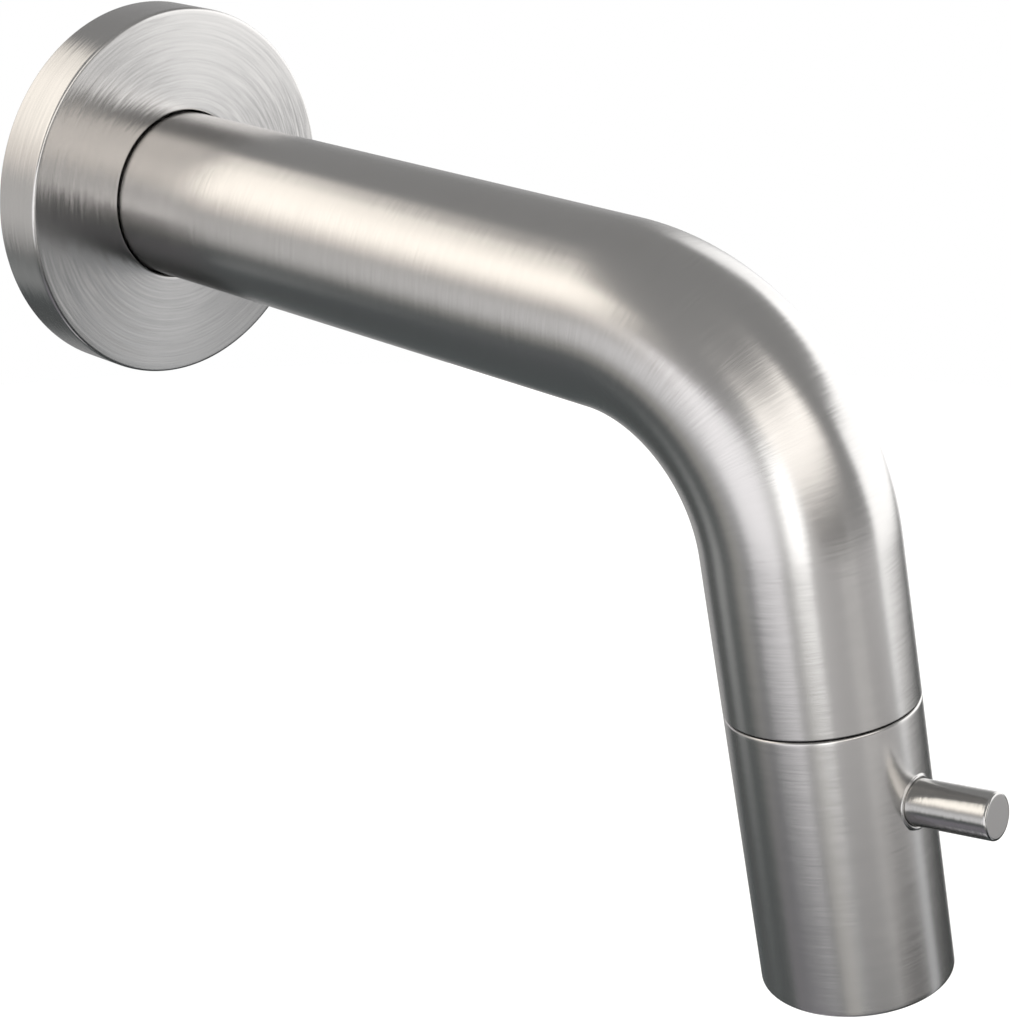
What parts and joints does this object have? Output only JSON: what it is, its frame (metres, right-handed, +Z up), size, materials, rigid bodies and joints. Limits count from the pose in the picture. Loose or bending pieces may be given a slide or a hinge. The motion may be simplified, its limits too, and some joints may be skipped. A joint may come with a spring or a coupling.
{
  "type": "wall basin tap",
  "caption": "Wall-held basin tap: round rosette, bent tube spout, and a turning outlet sleeve with a pin lever that opens a ceramic disc valve.",
  "frame": {"origin": "centre of the rosette's back face, on the finished wall plane y = 0 and on the axis of the wall nipple", "axes": "-Y points out of the wall along the straight run, +Z is up, +Y points into the wall, X is square to the spout's plane of symmetry"},
  "size_m": [0.056, 0.1679, 0.1113],
  "materials": {
    "brushed_face": "turned in fine circles on the face, satin",
    "brushed_tube": "brushed round the tube, satin",
    "brushed_sleeve": "brushed round the sleeve, satin",
    "brushed_lever": "turned, satin",
    "plain_steel": "plain stainless hardware",
    "brass": "machined",
    "seal_rubber": "black EPDM",
    "foam_seal": "closed-cell foam rubber",
    "dark_polymer": "black acetal",
    "white_polymer": "natural acetal",
    "alumina": "lapped alumina ceramic"
  },
  "bodies": {
    "spout": {"wall_nipple": "brass", "nipple_orings": "seal_rubber", "spout_root_bush": "brass", "spout_grub_screw": "plain_steel", "spout_tube": "brushed_tube", "spout_end_holder": "brass", "slip_ring": "dark_polymer", "cartridge_housing": "brass", "cartridge_seal": "seal_rubber", "fixed_ceramic_disc": "alumina", "spindle_washer": "white_polymer"},
    "control": {"turning_ceramic_disc": "alumina", "hollow_spindle": "brass", "spindle_orings": "seal_rubber", "spindle_circlip": "plain_steel", "control_hub": "brass", "stop_pin": "plain_steel", "hub_oring": "seal_rubber", "spindle_hub_oring": "seal_rubber", "control_sleeve": "brushed_sleeve", "lever_pin": "brushed_lever", "lever_stud": "plain_steel", "aerator_gasket": "seal_rubber", "aerator_housing": "dark_polymer", "aerator_screen": "plain_steel", "aerator_regulator": "white_polymer", "aerator_grid": "white_polymer"},
    "rosette": {"wall_rosette": "brushed_face", "rosette_oring": "seal_rubber", "rosette_wall_seal": "foam_seal"}
  },
  "joints": [
    {"name": "control_turn", "type": "hinge", "parent": "spout", "child": "control", "pos_m": [0, -0.12596, -0.04371], "axis": [0, -0.225, -0.9744], "range_deg": [0, 90]},
    {"name": "rosette_slide", "type": "slide", "parent": "spout", "child": "rosette", "axis": [0, -1, 0], "range_m": [0, 0.08]}
  ]
}
